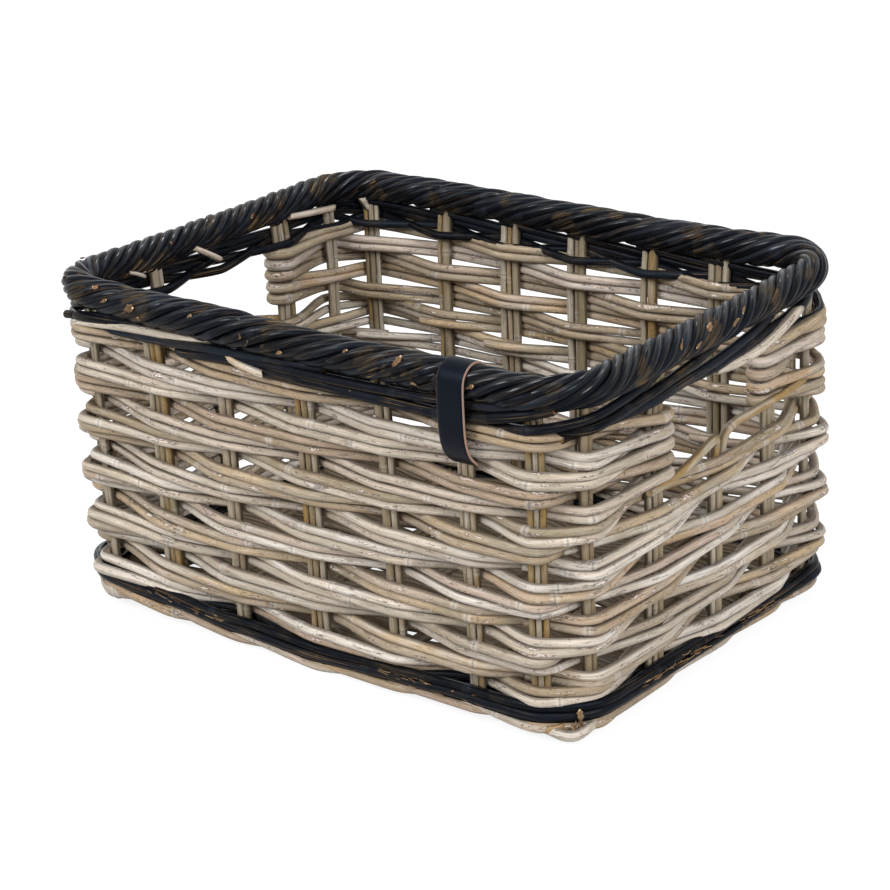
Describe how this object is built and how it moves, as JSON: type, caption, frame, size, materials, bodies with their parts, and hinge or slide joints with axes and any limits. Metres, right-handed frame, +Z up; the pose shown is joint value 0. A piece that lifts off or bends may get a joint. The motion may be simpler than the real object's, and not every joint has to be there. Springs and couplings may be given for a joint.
{
  "type": "bicycle basket",
  "caption": "Rectangular open basket of woven rattan with a thick black rope rim, a hand opening in each short side and a black leather strap over the front rim.",
  "frame": {"origin": "on the floor under the middle of the basket", "axes": "+Z up; X along the long sides, +X to the right seen from the strap's side; the strap is on the -Y side"},
  "size_m": [0.47, 0.3483, 0.2483],
  "materials": {
    "grey_rattan": "weathered grey-beige cane, satin, with darker joints and tan streaks",
    "stake_rattan": "olive-brown and grey cane, dull satin",
    "black_rattan": "blue-black stained cane, semi-gloss, worn to brown and orange in places",
    "leather": "smooth black leather with a raw pinkish-brown cut edge"
  },
  "bodies": {
    "root": {"stake_01": "stake_rattan", "stake_02": "stake_rattan", "stake_03": "stake_rattan", "stake_04": "stake_rattan", "stake_05": "stake_rattan", "stake_06": "stake_rattan", "stake_07": "stake_rattan", "stake_08": "stake_rattan", "stake_09": "stake_rattan", "stake_10": "stake_rattan", "stake_11": "stake_rattan", "stake_12": "stake_rattan", "stake_13": "stake_rattan", "stake_14": "stake_rattan", "stake_15": "stake_rattan", "stake_16": "stake_rattan", "stake_17": "stake_rattan", "stake_18": "stake_rattan", "stake_19": "stake_rattan", "stake_20": "stake_rattan", "stake_21": "stake_rattan", "stake_22": "stake_rattan", "stake_23": "stake_rattan", "stake_24": "stake_rattan", "black_foot_round": "black_rattan", "foot_round": "grey_rattan", "weave_round_03": "grey_rattan", "weave_round_04": "grey_rattan", "weave_round_05": "grey_rattan", "weave_round_06": "grey_rattan", "weave_round_07": "grey_rattan", "weave_round_08": "grey_rattan", "weave_round_09": "grey_rattan", "weave_round_10": "grey_rattan", "weave_round_11": "grey_rattan", "front_turn_round_12_13": "grey_rattan", "back_turn_round_12_13": "grey_rattan", "front_turn_round_14_15": "grey_rattan", "back_turn_round_14_15": "grey_rattan", "lower_black_wale": "black_rattan", "upper_black_wale": "black_rattan", "rim_rope": "black_rattan", "base_stick_1": "stake_rattan", "base_stick_2": "stake_rattan", "base_stick_3": "stake_rattan", "base_stick_4": "stake_rattan", "base_stick_5": "stake_rattan", "base_stick_6": "stake_rattan", "base_stick_7": "stake_rattan", "base_band_1": "grey_rattan", "base_band_2": "grey_rattan", "base_band_3": "grey_rattan", "base_band_4": "grey_rattan", "base_band_5": "grey_rattan", "base_band_6": "grey_rattan", "base_band_7": "grey_rattan", "base_band_8": "grey_rattan", "strap": "leather"}
  },
  "joints": []
}
